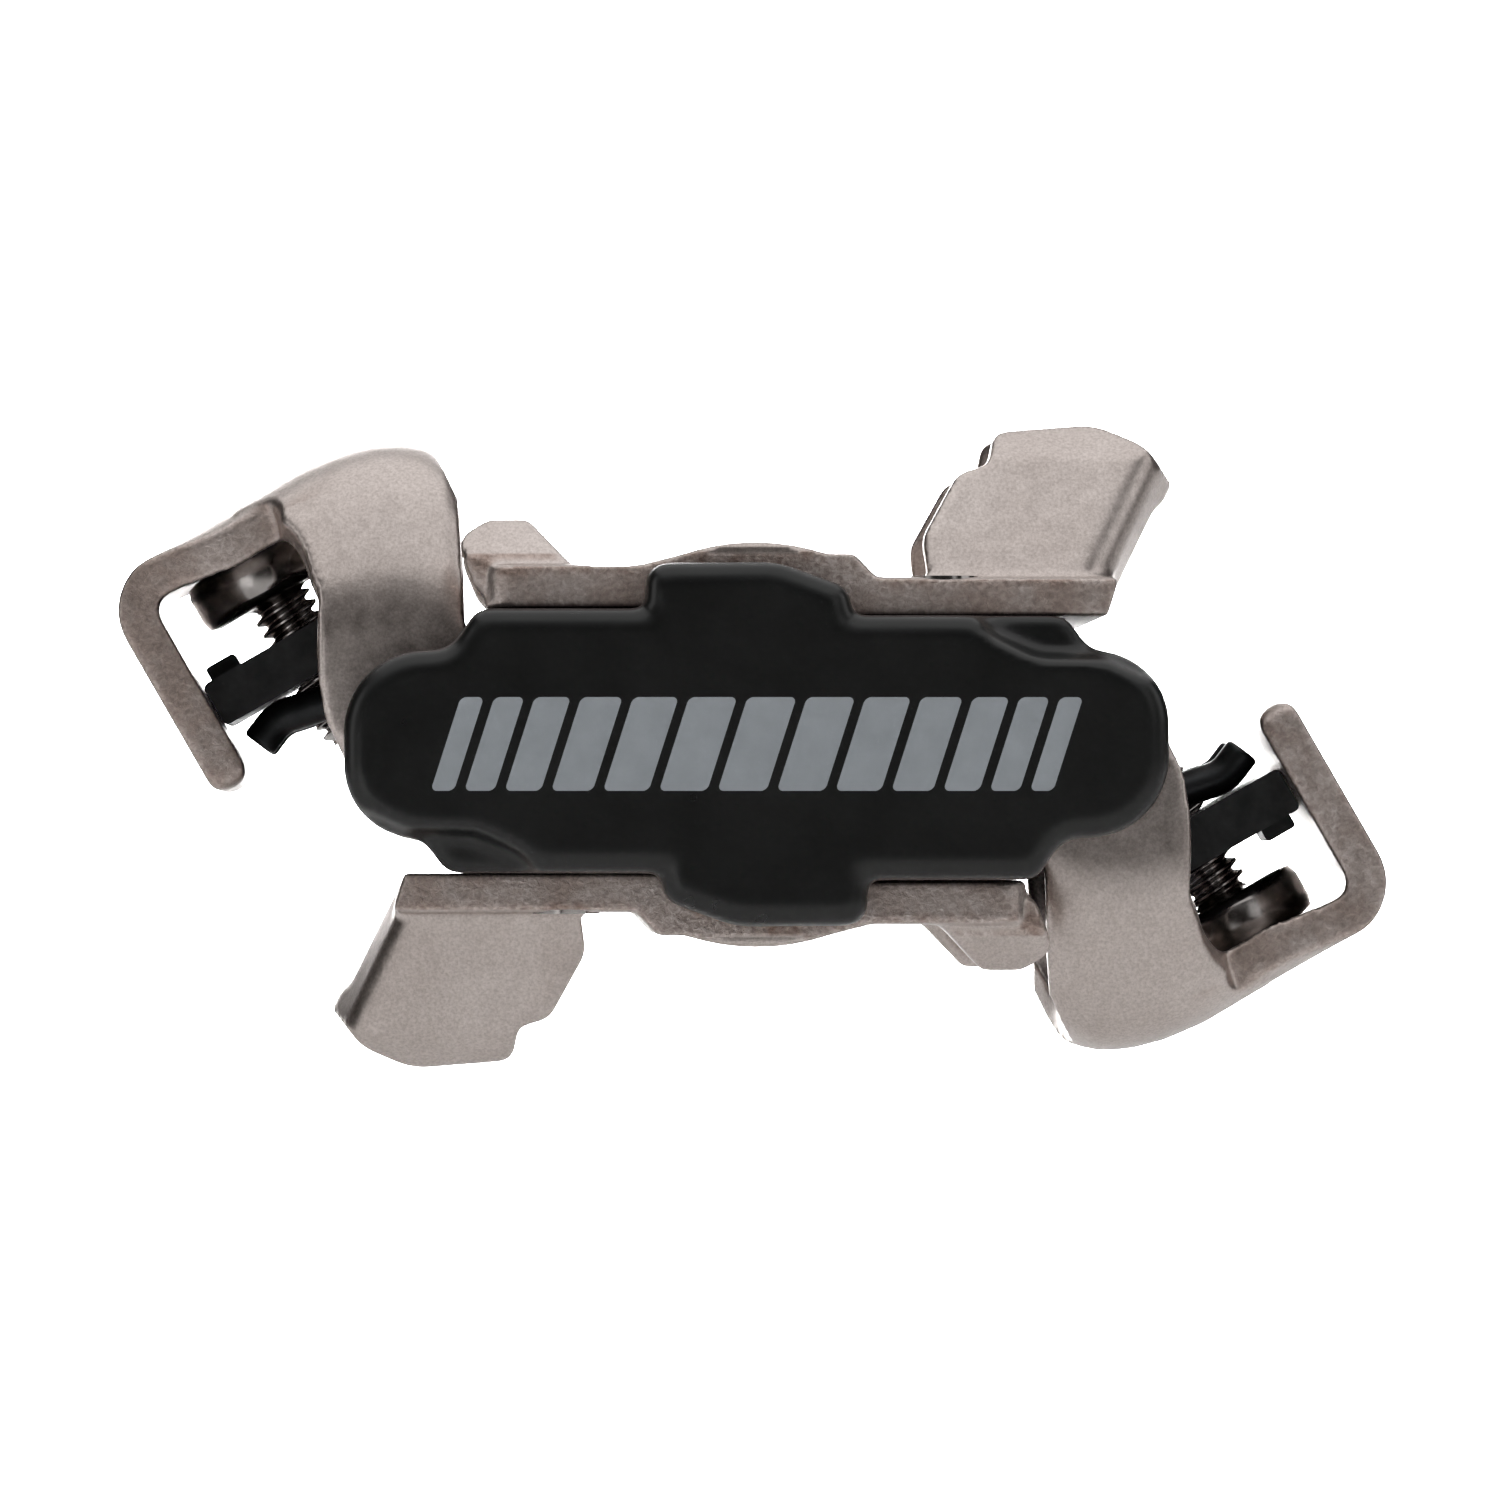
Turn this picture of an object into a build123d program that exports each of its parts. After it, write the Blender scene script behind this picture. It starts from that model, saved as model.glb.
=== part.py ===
# Two-sided clipless bicycle pedal, right-hand side, in millimetres.
# Origin on the spindle axis at the shoulder that seats on the crank arm.
# +Y runs along the spindle into the crank, +X is forward, +Z is up.
# The lower binding is the upper one turned half a turn about the spindle.
import os
from math import asin, atan2, cos, degrees, hypot, pi, radians, sin

from build123d import *

os.makedirs("parts", exist_ok=True)

# pedal body
CENTRE = -53.0          # Y of the plane through the middle of both cleat pockets
BODY_HALF = 31.0        # centre plane to each end face
FLANGE_HALF = 21.5      # centre plane to each flange's inner face
EAR_HALF = 27.0         # half width of the cleat plate
THINNED = 1.5           # depth taken from the plate's underside
REAR_SEAT = 10.0        # height of the flange ledge behind the barrel
FRONT_SEAT = 9.5        # and in front of it
BARREL_R = 11.7
BORE_R = 9.0
SCOOP = 2.2
NECK_R = 12.6
NECK_END = -14.0
BORE_STEP = -21.0       # shoulder for the bearing tube's collar
BORE_END = -76.0

# spindle and bearings
THREAD_R = 7.14         # 9/16 inch thread
THREAD_LENGTH = 14.0
COLLAR_R = 8.8
WRENCH = 15.0           # across the flats
BALL_R = 1.5
RACE_GAP = 0.05
IN_BALL_Y, IN_PITCH_R, IN_BALLS = -25.0, 6.6, 12
OUT_BALL_Y, OUT_PITCH_R, OUT_BALLS = -66.0, 5.4, 10

# binding
PIVOT = (-24.5, 0.7)
PIN_R = 2.5
CLAW_HALF = 20.0
SHEET = 3.0
BAIL_HALF = 13.0
COIL_R = 4.9
WIRE_R = 1.35
COIL_LENGTH = 8.5
BODY_LEG = 11.0         # straight end of the spring against the body
BOLT_R = 2.45
HEAD_R = 5.9
KEY_HOLE_R = 2.6
BOLT_TIP = -15.8

# plate screws
SCREW_R = 1.45
SCREW_HEAD_R = 2.5
SCREW_END = 3.0         # height the threads reach down to
SCREW_SPOTS = [(x, CENTRE + v) for x in (-10.8, 14.0) for v in (-24.0, 24.0)]

# sleeve and fits
SLEEVE_R = 10.0
SLEEVE_HEAD_R = 11.4
SEAL_LAND_R = 7.4
OUT_THREAD_R = 3.0
RUNNING = 0.05          # radial clearance of round fits

# the bolt leans 30 degrees: s runs across it, t runs along it from head to tip
LEAN = radians(30)
BOLT_S = -25.3


def tilted(s, t):
    return (cos(LEAN) * s + sin(LEAN) * t, sin(LEAN) * s - cos(LEAN) * t)


def tilted_corner(s, t, radius):
    return (tilted(s, t), radius)


def head_seat(x):
    return (REAR_SEAT if x < 0 else FRONT_SEAT) + 1.2


def side_plane(y=CENTRE):
    return Plane(origin=(0, y, 0), x_dir=(1, 0, 0), z_dir=(0, -1, 0))


def bolt_plane(t):
    x, z = tilted(BOLT_S, t)
    return Plane(origin=(x, CENTRE, z), x_dir=(0, 1, 0), z_dir=(sin(LEAN), 0, -cos(LEAN)))


def rounded_outline(corners):
    # closed face from (point, corner radius) pairs
    face = make_face(Polyline(*[point for point, _ in corners], close=True))
    for (x, z), radius in corners:
        if radius:
            face = fillet(face.vertices().sort_by_distance((x, z, 0))[0], radius)
    return face


def horseshoe(back, half, shoulder, nose, flat, radii):
    # plan outline of a claw, open end at x = back, symmetric about the centre plane
    right = [((back, half), 0), ((shoulder, half), radii[0]), ((nose, flat), radii[1])]
    left = [((x, -v), radius) for (x, v), radius in reversed(right)]
    return rounded_outline([((x, CENTRE + v), radius) for (x, v), radius in right + left])


def half_turned(corners):
    return corners + [((-x, -z), radius) for (x, z), radius in corners]


def save(solid, name):
    solid.label = name
    export_step(solid, f"parts/{name}.step")


def save_both(solid, name):
    save(solid, f"top_{name}")
    save(solid.rotate(Axis.Y, 180), f"bottom_{name}")


# ---- pedal body: barrel, two flanges and the end bosses ----
flange_outline = rounded_outline(half_turned([
    ((-30.4, 6.9), 6.0), ((-22.6, 6.9), 2.5), ((-20.6, REAR_SEAT), 1.6), ((-6, REAR_SEAT), 0),
    ((6, FRONT_SEAT), 0), ((22.8, FRONT_SEAT), 1.8), ((24.6, 7.0), 2.0), ((30.4, 6.4), 5.4),
]))
boss_outline = rounded_outline(half_turned([
    ((-8.2, 6.0), 0), ((-8.2, 13.35), 1.7), ((1.5, 13.45), 6.0), ((6.9, 11.5), 1.7), ((7.3, 6.0), 0),
]))
end_outline = flange_outline + boss_outline
scoop_outline = rounded_outline([
    ((15.2, 9.9), 0), ((17.2, 7.7), 2.0), ((20.6, 6.1), 4.0), ((25.6, 6.0), 2.0), ((29.0, 4.4), 0),
    ((33.0, 7.0), 0), ((27.0, 13.0), 0),
])
boss_depth = BODY_HALF - EAR_HALF - 0.2
with BuildPart() as pedal_body:
    for outline, y, depth in (
        (end_outline, CENTRE - BODY_HALF, boss_depth),
        (end_outline, CENTRE + BODY_HALF - boss_depth, boss_depth),
    ):
        with BuildSketch(side_plane(y)):
            add(outline)
        extrude(amount=-depth)
    rims = [e for e in pedal_body.edges()
            if abs(abs(e.center().Y - CENTRE) - BODY_HALF) < 0.01]
    fillet(rims, 1.3)
    # scooped corner below each front ear, on both end faces
    for turn in (1, -1):
        for y, depth in ((CENTRE - BODY_HALF, -SCOOP), (CENTRE + BODY_HALF, SCOOP)):
            with BuildSketch(Plane(origin=(0, y, 0), x_dir=(turn, 0, 0), z_dir=(0, -1, 0))):
                add(scoop_outline)
            extrude(amount=depth, taper=20, mode=Mode.SUBTRACT)
    for y in (CENTRE - BODY_HALF + boss_depth, CENTRE + FLANGE_HALF):
        with BuildSketch(side_plane(y)):
            add(flange_outline)
        extrude(amount=-(BODY_HALF - FLANGE_HALF - boss_depth))
    with BuildSketch(side_plane(CENTRE - BODY_HALF + 1)):
        Circle(BARREL_R)
    extrude(amount=-(2 * BODY_HALF - 2))
    with BuildSketch(side_plane(NECK_END)):
        Circle(NECK_R)
    extrude(amount=10)
    # stepped bore, open at the crank end only
    with BuildSketch(side_plane(NECK_END)):
        Circle(SLEEVE_R + RUNNING)
    extrude(amount=NECK_END - BORE_STEP, mode=Mode.SUBTRACT)
    with BuildSketch(side_plane(BORE_STEP)):
        Circle(BORE_R)
    extrude(amount=BORE_STEP - BORE_END, mode=Mode.SUBTRACT)
    # blind pivot bores drilled from the crank side, and the tapped screw holes
    for turn in (1, -1):
        with BuildSketch(side_plane(CENTRE + BODY_HALF)):
            with Locations((turn * PIVOT[0], turn * PIVOT[1])):
                Circle(PIN_R + 0.02)
        extrude(amount=2 * BODY_HALF - 3.5, mode=Mode.SUBTRACT)
        with BuildSketch(Plane(origin=(0, 0, turn * 12), x_dir=(turn, 0, 0), z_dir=(0, 0, turn))):
            with Locations(*SCREW_SPOTS):
                Circle(SCREW_R + RUNNING)
        extrude(amount=-(12 - SCREW_END), mode=Mode.SUBTRACT)
save(pedal_body.part, "pedal_body")

# ---- spindle, bearings, sleeve and seal ----
in_race = Location((0, IN_BALL_Y, 0), (90, 0, 0))
out_race = Location((0, OUT_BALL_Y, 0), (90, 0, 0))

with BuildPart() as spindle:
    with BuildSketch(Plane.XY):
        with BuildLine():
            Polyline(
                (0, THREAD_LENGTH), (THREAD_R - 0.9, THREAD_LENGTH), (THREAD_R, THREAD_LENGTH - 0.9),
                (THREAD_R, 0), (COLLAR_R, 0), (COLLAR_R, -7.5), (SEAL_LAND_R, -7.5), (SEAL_LAND_R, -13.2),
                (6.4, -13.6), (6.4, -22), (5.6, -22.6), (5.6, -28), (4.6, -30), (4.1, -61),
                (OUT_THREAD_R, -61), (OUT_THREAD_R, -74.2), (OUT_THREAD_R - 0.7, -74.9), (0, -74.9),
                close=True,
            )
        make_face()
    revolve(axis=Axis.Y)
    for x in (-1, 1):
        with Locations((x * (WRENCH / 2 + 2), -4.4, 0)):
            Box(4, 6.2, 2 * COLLAR_R, mode=Mode.SUBTRACT)
    with Locations(in_race):
        Torus(IN_PITCH_R, BALL_R + RACE_GAP, mode=Mode.SUBTRACT)
save(spindle.part, "spindle")

with BuildPart() as outboard_cone:
    with BuildSketch(side_plane(-61)):
        Circle(4.4)
        Circle(OUT_THREAD_R + RUNNING, mode=Mode.SUBTRACT)
    extrude(amount=8)
    with Locations(out_race):
        Torus(OUT_PITCH_R, BALL_R + RACE_GAP, mode=Mode.SUBTRACT)
save(outboard_cone.part, "outboard_cone")

with BuildPart() as cone_locknut:
    with BuildSketch(side_plane(-69)):
        RegularPolygon(5.0, 6)
        Circle(OUT_THREAD_R + RUNNING, mode=Mode.SUBTRACT)
    extrude(amount=4)
save(cone_locknut.part, "cone_locknut")

for name, y, pitch_radius, count in (
    ("inboard_balls", IN_BALL_Y, IN_PITCH_R, IN_BALLS),
    ("outboard_balls", OUT_BALL_Y, OUT_PITCH_R, OUT_BALLS),
):
    with BuildPart() as ball_set:
        for i in range(count):
            turn = 2 * pi * i / count
            with Locations((pitch_radius * cos(turn), y, pitch_radius * sin(turn))):
                Sphere(BALL_R)
    save(ball_set.part, name)

with BuildPart() as bearing_tube:
    for y, length, outer, inner in (
        (-19, 2, SLEEVE_R, 7.4), (-21, 9, BORE_R - RUNNING, 7.4), (-30, 41, BORE_R - RUNNING, 6.2),
    ):
        with BuildSketch(side_plane(y)):
            Circle(outer)
            Circle(inner, mode=Mode.SUBTRACT)
        extrude(amount=length)
    with Locations(in_race):
        Torus(IN_PITCH_R, BALL_R + RACE_GAP, mode=Mode.SUBTRACT)
    with Locations(out_race):
        Torus(OUT_PITCH_R, BALL_R + RACE_GAP, mode=Mode.SUBTRACT)
save(bearing_tube.part, "bearing_tube")

with BuildPart() as lock_sleeve:
    for y, length, outer, inner in ((-9, 5, SLEEVE_HEAD_R, 7.9), (-14, 5, SLEEVE_R, 9.05)):
        with BuildSketch(side_plane(y)):
            Circle(outer)
            Circle(inner, mode=Mode.SUBTRACT)
        extrude(amount=length)
    with BuildSketch(side_plane(-10.8)):
        Circle(9.05)
    extrude(amount=3.2, mode=Mode.SUBTRACT)
    with BuildSketch(side_plane(-9)):
        with PolarLocations(SLEEVE_HEAD_R, 18):
            Circle(0.75)
    extrude(amount=4.2, mode=Mode.SUBTRACT)
save(lock_sleeve.part, "lock_sleeve")

with BuildPart() as spindle_seal:
    with BuildSketch(side_plane(-10.8)):
        Circle(9.0)
        Circle(SEAL_LAND_R + RUNNING, mode=Mode.SUBTRACT)
    extrude(amount=2.2)
save(spindle_seal.part, "spindle_seal")

# ---- cleat plate with the fixed front claw ----
rest_side = rounded_outline([
    ((-18.2, 10.4), 0), ((-20.6, 11.3), 1.6), ((-22.2, 15.2), 1.5), ((-19.8, 16.7), 1.6), ((-16.8, 16.7), 0.8),
    ((-13.5, 13.2), 0), ((-13.5, 10.4), 0),
])
claw_side = rounded_outline([
    ((13.2, FRONT_SEAT + 1), 0), ((12.5, 15.4), 2.0), ((15.2, 20.3), 1.6), ((17.5, 21.0), 0.3),
    ((18.0, 23.5), 1.2), ((25.5, 24.1), 5.0), ((29.2, 22.5), 4.0), ((31.8, 19.3), 0.5),
    ((30.0, 17.6), 0.4), ((26.0, FRONT_SEAT), 0),
])
hollow_side = rounded_outline([
    ((8, 9), 0), ((8, 20.9), 0), ((27.6, 20.9), 0.8), ((27.0, 17.5), 1.0),
    ((23.0, 9), 0),
])
claw_foot = horseshoe(5, 21.5, 24.6, 26.4, 13.0, (3.5, 5.0))
claw_rim = horseshoe(5, 14.6, 31.5, 34.2, 9.5, (3.5, 5.0))
inside_foot = horseshoe(5, 18.3, 22.8, 28.7, 9.5, (4.5, 6.0))
inside_rim = horseshoe(5, 11.4, 25.0, 28.7, 7.0, (4.0, 5.0))
claw_mouth = horseshoe(5, 12.8, 17.4, 24.0, 4.5, (4.5, 9.0))
with BuildPart() as cleat_plate:
    with BuildSketch(side_plane()):
        with BuildLine():
            Polyline((26.0, FRONT_SEAT), (26.9, 12.4), (8.9, 12.4), (7.3, 14.1), (5.3, 14.1))
            ThreePointArc((5.3, 14.1), (0.4, 14.97), (-5.4, 14.1))
            Polyline((-5.4, 14.1), (-8.5, 13.3), (-20.0, 13.3), (-20.0, REAR_SEAT), (-6.25, REAR_SEAT))
            ThreePointArc((-6.25, REAR_SEAT), (0, BARREL_R + 0.1), (6.97, FRONT_SEAT))
            Line((6.97, FRONT_SEAT), (26.0, FRONT_SEAT))
        make_face()
    extrude(amount=EAR_HALF, both=True)
    corners = [e for e in cleat_plate.edges().filter_by(Axis.Z) if abs(e.center().X + 20) < 0.1]
    fillet(corners, 2.0)
    # thinned underneath between the flanges, fore and aft of the barrel
    with BuildSketch(side_plane()):
        with Locations((-13.4, REAR_SEAT)):
            Rectangle(9.2, 2 * THINNED)
        with Locations((15.4, FRONT_SEAT)):
            Rectangle(13.2, 2 * THINNED)
    extrude(amount=FLANGE_HALF - 3, both=True, mode=Mode.SUBTRACT)
    # raised rests beside the rear claw, their end faces leaning inwards
    for low, high in ((20.8, 25.6), (-25.6, -20.8)):
        with BuildSketch(side_plane(CENTRE - low)):
            add(rest_side)
        extrude(amount=high - low)
    for turn in (1, -1):
        with BuildSketch(Plane.YZ.offset(-23)):
            with BuildLine():
                Polyline(*[(CENTRE + turn * v, z) for v, z in ((25.7, 13.6), (25.7, 17), (23.0, 17))],
                         close=True)
            make_face()
        extrude(amount=10.5, mode=Mode.SUBTRACT)
    # front claw: horseshoe wall leaning inwards, with an overhanging lip
    with BuildPart(mode=Mode.PRIVATE) as claw:
        with BuildSketch(side_plane()):
            add(claw_side)
        extrude(amount=CLAW_HALF + 2, both=True)
        loft([Plane.XY.offset(FRONT_SEAT) * claw_foot, Plane.XY.offset(25) * claw_rim],
             mode=Mode.INTERSECT)
        for turn in (1, -1):
            with BuildSketch(Plane.YZ.offset(10)):
                with BuildLine():
                    Polyline(*[(CENTRE + turn * v, z) for v, z in
                               ((16.6, 21.2), (19.0, 21.2), (19.0, 26), (10.8, 26))], close=True)
                make_face()
            extrude(amount=26, mode=Mode.SUBTRACT)
        # hollow under the lip, then the mouth through it
        with BuildSketch(side_plane()):
            add(hollow_side)
        hollow = extrude(amount=17, both=True, mode=Mode.PRIVATE)
        reach = loft([Plane.XY.offset(FRONT_SEAT) * inside_foot, Plane.XY.offset(25) * inside_rim],
                     mode=Mode.PRIVATE)
        add(hollow & reach, mode=Mode.SUBTRACT)
        with BuildSketch(Plane.XY.offset(18)):
            add(claw_mouth)
        extrude(amount=10, mode=Mode.SUBTRACT)
    add(claw.part)
    with BuildSketch(Plane.XY.offset(20)):
        with Locations(*SCREW_SPOTS):
            Circle(SCREW_R + 0.25)
    extrude(amount=-12, mode=Mode.SUBTRACT)
    for x, y in SCREW_SPOTS:
        with BuildSketch(Plane.XY.offset(20)):
            with Locations((x, y)):
                Circle(SCREW_HEAD_R + 0.15)
        extrude(amount=-(20 - head_seat(x)), mode=Mode.SUBTRACT)
save_both(cleat_plate.part, "cleat_plate")

with BuildPart() as plate_screws:
    for x, y in SCREW_SPOTS:
        with BuildSketch(Plane.XY.offset(head_seat(x))):
            with Locations((x, y)):
                Circle(SCREW_HEAD_R)
        extrude(amount=1.8)
        with BuildSketch(Plane.XY.offset(head_seat(x) + 1.8)):
            with Locations((x, y)):
                RegularPolygon(1.2, 6)
        extrude(amount=-1.4, mode=Mode.SUBTRACT)
        with BuildSketch(Plane.XY.offset(SCREW_END + 0.5)):
            with Locations((x, y)):
                Circle(SCREW_R)
        extrude(amount=head_seat(x) - SCREW_END - 0.5)
save_both(plate_screws.part, "plate_screws")

with BuildPart() as binding_pin:
    with BuildSketch(side_plane(CENTRE + BODY_HALF - 0.6)):
        with Locations(PIVOT):
            Circle(PIN_R)
    extrude(amount=2 * BODY_HALF - 3.5 - 0.6)
save_both(binding_pin.part, "binding_pin")

# ---- sprung rear claw with its bail ----
leg_in, leg_out, plate_in, plate_out = -33.6, -36.7, -31.8, -34.9
claw_outline = rounded_outline([
    ((-21.65, 11.2), 1.5), ((-22.0, 22.75), 2.3), ((-27.0, 23.1), 5.0),
    ((-31.0, 22.3), 4.0), tilted_corner(-18, plate_out, 3.0), tilted_corner(-24.0, plate_out, 0),
    ((-35.5, 18.9), 1.0), ((-33.3, 16.8), 2.0), ((-32.3, 12.4), 2.0), ((-32.6, 6.0), 4.0),
    ((-30.75, 0.2), 0), ((-18.3, 1.6), 0),
])
claw_plan = rounded_outline([
    ((-15, CENTRE - 20), 0), ((-15, CENTRE + 20), 0), ((-32.3, CENTRE + 20), 2.4),
    ((-36, CENTRE + 14.5), 3.0), ((-38, CENTRE + 12.5), 0),
    ((-38, CENTRE - 12.5), 0), ((-36, CENTRE - 14.5), 3.0), ((-32.3, CENTRE - 20), 2.4),
])
bail_side = rounded_outline([
    tilted_corner(-18.5, plate_in, 0), tilted_corner(leg_in, plate_in, 1.2),
    tilted_corner(leg_in, -16.9, 1.3), tilted_corner(leg_out, -16.9, 1.6),
    tilted_corner(leg_out, plate_out, 4.6), tilted_corner(-19.5, plate_out, 0),
])
shoulder_flat = rounded_outline([
    ((-20, -40), 0), ((20, -40), 0), ((20, 23.05), 3.4), ((-20, 23.05), 3.4),
])
shoulder_sloped = rounded_outline([
    ((-20, -60), 0), ((20, -60), 0), ((20, -plate_out + 0.05), 3.4), ((-20, -plate_out + 0.05), 3.4),
])
slope_x, slope_z = tilted(-90, 0)
with BuildPart() as rear_claw:
    with BuildSketch(side_plane()):
        add(claw_outline)
        with Locations(PIVOT):
            Circle(6.25)
    extrude(amount=CLAW_HALF, both=True)
    with BuildSketch(Plane.XY.offset(-8)):
        add(claw_plan)
    extrude(amount=34, mode=Mode.INTERSECT)
    # round the shoulders along the flat top and along the sloped back
    for origin, along, shoulder in (
        ((-60, CENTRE, 0), (1, 0, 0), shoulder_flat),
        ((slope_x, CENTRE, slope_z), (cos(LEAN), 0, sin(LEAN)), shoulder_sloped),
    ):
        with BuildSketch(Plane(origin=origin, x_dir=(0, 1, 0), z_dir=along)):
            add(shoulder)
        extrude(amount=120, mode=Mode.INTERSECT)
    with BuildSketch(side_plane()):
        with BuildLine():
            Polyline((-10, -12), (-10, 19.7), (-27.6, 19.7), tilted(-19, plate_in), tilted(-40, plate_in),
                     (-50, -12), (-10, -12))
        make_face()
    extrude(amount=CLAW_HALF - SHEET, both=True, mode=Mode.SUBTRACT)
    # wall that the cleat's tail meets
    with BuildSketch(Plane.XY.offset(12.8)):
        with BuildLine():
            Line((-22.5, CENTRE - 17.5), (-25, CENTRE - 17.5))
            ThreePointArc((-25, CENTRE - 17.5), (-29.2, CENTRE), (-25, CENTRE + 17.5))
            Line((-25, CENTRE + 17.5), (-22.5, CENTRE + 17.5))
            ThreePointArc((-22.5, CENTRE + 17.5), (-26.8, CENTRE), (-22.5, CENTRE - 17.5))
        make_face()
    extrude(amount=7.5)
    with BuildSketch(Plane.XY.offset(18)):
        with BuildLine():
            Line((-20, CENTRE - 16.5), (-21.9, CENTRE - 16.5))
            ThreePointArc((-21.9, CENTRE - 16.5), (-24.4, CENTRE), (-21.9, CENTRE + 16.5))
            Polyline((-21.9, CENTRE + 16.5), (-20, CENTRE + 16.5), (-20, CENTRE - 16.5))
        make_face()
    extrude(amount=8, mode=Mode.SUBTRACT)
    # bail: sloped plate and back leg in one bent strip
    with BuildSketch(side_plane()):
        add(bail_side)
    extrude(amount=BAIL_HALF, both=True)
    with BuildSketch(bolt_plane(plate_out - 1)):
        Circle(KEY_HOLE_R)
    extrude(amount=6, mode=Mode.SUBTRACT)
    with BuildSketch(side_plane()):
        with Locations(PIVOT):
            Circle(PIN_R + RUNNING)
    extrude(amount=CLAW_HALF + 1, both=True, mode=Mode.SUBTRACT)
save_both(rear_claw.part, "rear_claw")

# ---- tension bolt and nut ----
with BuildPart() as tension_bolt:
    with BuildSketch(bolt_plane(plate_in + 0.05)):
        Circle(HEAD_R)
    extrude(amount=4.0)
    with BuildSketch(bolt_plane(plate_in + 4.05)):
        Circle(BOLT_R)
    extrude(amount=BOLT_TIP - plate_in - 4.05)
    with BuildSketch(bolt_plane(plate_in + 0.05)):
        RegularPolygon(1.75, 6)
    extrude(amount=2.4, mode=Mode.SUBTRACT)
save_both(tension_bolt.part, "tension_bolt")

nut_top, nut_under = -24.6, -21.1
nut_side = rounded_outline([
    tilted_corner(leg_in + 0.12, nut_under, 0.5), tilted_corner(leg_in + 0.12, nut_top, 0.5),
    tilted_corner(-20.6, nut_top, 0.5), tilted_corner(-20.6, nut_under, 0.5),
])
nut_tab = rounded_outline([
    tilted_corner(-32.7, nut_top + 0.5, 0), tilted_corner(-32.7, nut_top - 1.1, 0.3),
    tilted_corner(-30.2, nut_top - 1.1, 0.3), tilted_corner(-30.2, nut_top + 0.5, 0),
])
with BuildPart() as tension_nut:
    with BuildSketch(side_plane()):
        add(nut_side)
    extrude(amount=9, both=True)
    with BuildSketch(side_plane()):
        add(nut_tab)
    extrude(amount=4.5, both=True)
    with BuildSketch(bolt_plane(nut_top - 2)):
        Circle(BOLT_R + RUNNING)
    extrude(amount=8, mode=Mode.SUBTRACT)
save_both(tension_nut.part, "tension_nut")

# ---- torsion springs: body leg, close coil and bent claw leg ----
bend = tilted(-29.8, nut_under + WIRE_R + 0.03)
tip = tilted(-32.1, -18.75)
to_bend = (bend[0] - PIVOT[0], bend[1] - PIVOT[1])
last_turn = atan2(to_bend[1], to_bend[0]) - pi / 2 + asin(COIL_R / hypot(*to_bend))
first_turn = radians(106)
turns = 3 + (last_turn - first_turn) / (2 * pi)
coil_to_bend = (hypot(*to_bend) ** 2 - COIL_R ** 2) ** 0.5
pivot_axis = Axis((PIVOT[0], 0, PIVOT[1]), (0, -1, 0))
for name, side in (("outboard_spring", -1), ("inboard_spring", 1)):
    outer = CENTRE + side * 14.5
    coil = Helix(pitch=COIL_LENGTH / turns, height=COIL_LENGTH, radius=COIL_R, direction=(0, -side, 0),
                 center=(PIVOT[0], outer, PIVOT[1]), lefthand=side < 0)
    begin = coil @ 0
    coil = coil.rotate(pivot_axis, degrees(first_turn - atan2(begin.Z - PIVOT[1], begin.X - PIVOT[0])))
    joint = coil @ 1 + (coil % 1) * coil_to_bend
    end = joint + Vector(tip[0] - bend[0], 0, tip[1] - bend[1])
    with BuildPart() as spring:
        with BuildSketch(Plane(origin=coil @ 0, z_dir=coil % 0)):
            Circle(WIRE_R)
        sweep(path=coil, is_frenet=True)
        for start, run in (
            (coil @ 0, (coil % 0) * -BODY_LEG), (coil @ 1, joint - coil @ 1), (joint, end - joint),
        ):
            with BuildSketch(Plane(origin=start, z_dir=run)):
                Circle(WIRE_R)
            extrude(amount=run.length)
        with Locations(joint):
            Sphere(WIRE_R)
    save_both(spring.part, name)
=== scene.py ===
import math

import bmesh
import bpy
import numpy as np
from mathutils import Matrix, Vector


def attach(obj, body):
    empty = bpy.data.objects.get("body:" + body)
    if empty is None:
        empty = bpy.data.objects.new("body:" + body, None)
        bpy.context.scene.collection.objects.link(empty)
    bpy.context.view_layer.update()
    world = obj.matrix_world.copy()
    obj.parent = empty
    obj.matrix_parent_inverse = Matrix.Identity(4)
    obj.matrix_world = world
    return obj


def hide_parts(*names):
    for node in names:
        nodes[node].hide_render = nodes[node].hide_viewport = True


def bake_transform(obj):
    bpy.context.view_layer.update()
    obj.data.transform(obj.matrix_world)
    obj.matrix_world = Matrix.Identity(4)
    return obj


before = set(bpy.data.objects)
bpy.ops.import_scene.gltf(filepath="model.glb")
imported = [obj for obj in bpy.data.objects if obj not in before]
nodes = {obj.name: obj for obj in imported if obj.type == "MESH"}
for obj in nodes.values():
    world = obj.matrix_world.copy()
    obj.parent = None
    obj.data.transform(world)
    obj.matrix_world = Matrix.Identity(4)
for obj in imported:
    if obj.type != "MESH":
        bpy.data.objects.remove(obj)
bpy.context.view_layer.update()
mm = 0.001
centreY = -53.0                 # plane through the middle of both cleat pockets
lean = math.radians(30)         # of the tension bolts
weldGap = 0.000002
fullTurn = 2 * math.pi
print("frame loaded")


def tilted(s, t):
    # a point of the tension bolt's own directions: s along the nut, t along the bolt
    return (math.cos(lean) * s + math.sin(lean) * t, math.sin(lean) * s - math.cos(lean) * t)


def addPiece(name, mesh):
    mesh.polygons.foreach_set("use_smooth", np.ones(len(mesh.polygons), bool))
    piece = bpy.data.objects.new(name, mesh)
    bpy.context.scene.collection.objects.link(piece)
    return piece


def newMesh(name, places, faces):
    # places in millimetres, faces as lists of corner numbers
    mesh = bpy.data.meshes.new(name)
    mesh.from_pydata((np.asarray(places, float) * mm).tolist(), [], [list(f) for f in faces])
    mesh.validate()
    mesh.update()
    return addPiece(name, mesh)


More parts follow.
